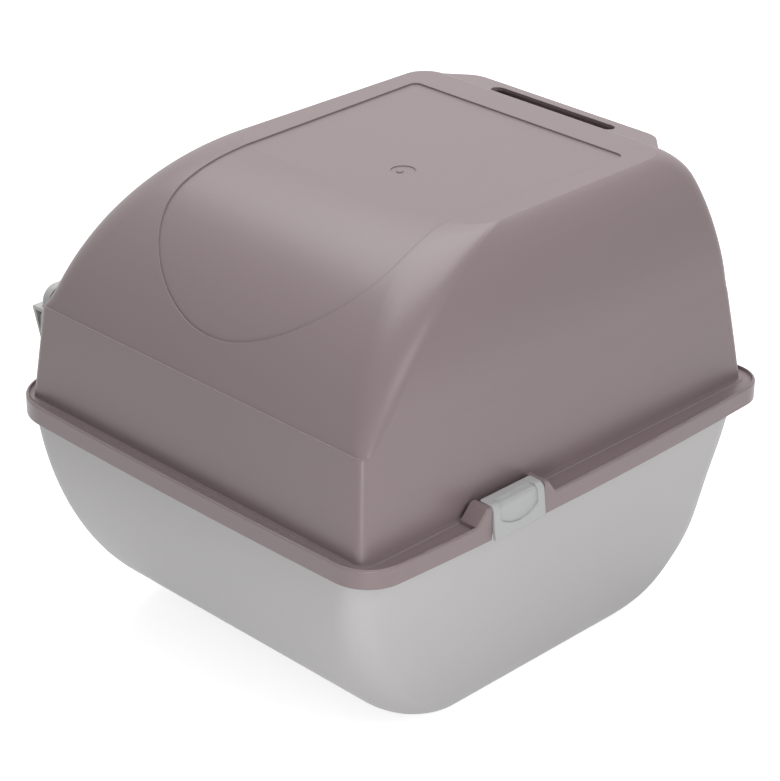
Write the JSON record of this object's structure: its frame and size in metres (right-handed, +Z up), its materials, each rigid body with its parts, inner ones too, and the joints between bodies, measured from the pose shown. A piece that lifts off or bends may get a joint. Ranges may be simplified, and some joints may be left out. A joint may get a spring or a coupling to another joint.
{
  "type": "self-cleaning litter box",
  "caption": "Roll-over self-sifting cat litter box: grey base tub, latched hood with rolling side, inner sifting grille and pull-out waste tray.",
  "frame": {"origin": "centre of the rim's footprint, on the floor under the base", "axes": "+Z up; +X towards the side the box is rolled over onto; -Y towards the cat's entrance; +Y towards the closed back wall"},
  "size_m": [0.516, 0.4764, 0.4395],
  "materials": {
    "cover_plastic": "satin taupe, fine moulded grain",
    "base_plastic": "satin light grey",
    "latch_plastic": "satin pale grey",
    "tray_plastic": "satin pale grey",
    "grille_plastic": "satin light grey",
    "pin_steel": "drawn wire",
    "screw_steel": "zinc plated"
  },
  "bodies": {
    "box": {"base_tub": "base_plastic", "cover_shell": "cover_plastic", "sifting_grille": "grille_plastic", "tray_guide": "grille_plastic", "grille_screws": "screw_steel", "guide_screws": "screw_steel", "latch_pin_back": "pin_steel", "latch_pin_front": "pin_steel"},
    "tray": {"waste_tray": "tray_plastic"},
    "back_latch": {"latch_back": "latch_plastic"},
    "front_latch": {"latch_front": "latch_plastic"}
  },
  "joints": [
    {"name": "tray_slide", "type": "slide", "parent": "box", "child": "tray", "axis": [0, -1, 0], "range_m": [0, 0.4]},
    {"name": "back_latch_hinge", "type": "hinge", "parent": "box", "child": "back_latch", "pos_m": [0.086, 0.2282, 0.214], "axis": [-1, 0, 0], "range_deg": [0, 100]},
    {"name": "front_latch_hinge", "type": "hinge", "parent": "box", "child": "front_latch", "pos_m": [0.086, -0.2282, 0.214], "axis": [1, 0, 0], "range_deg": [0, 100]}
  ]
}
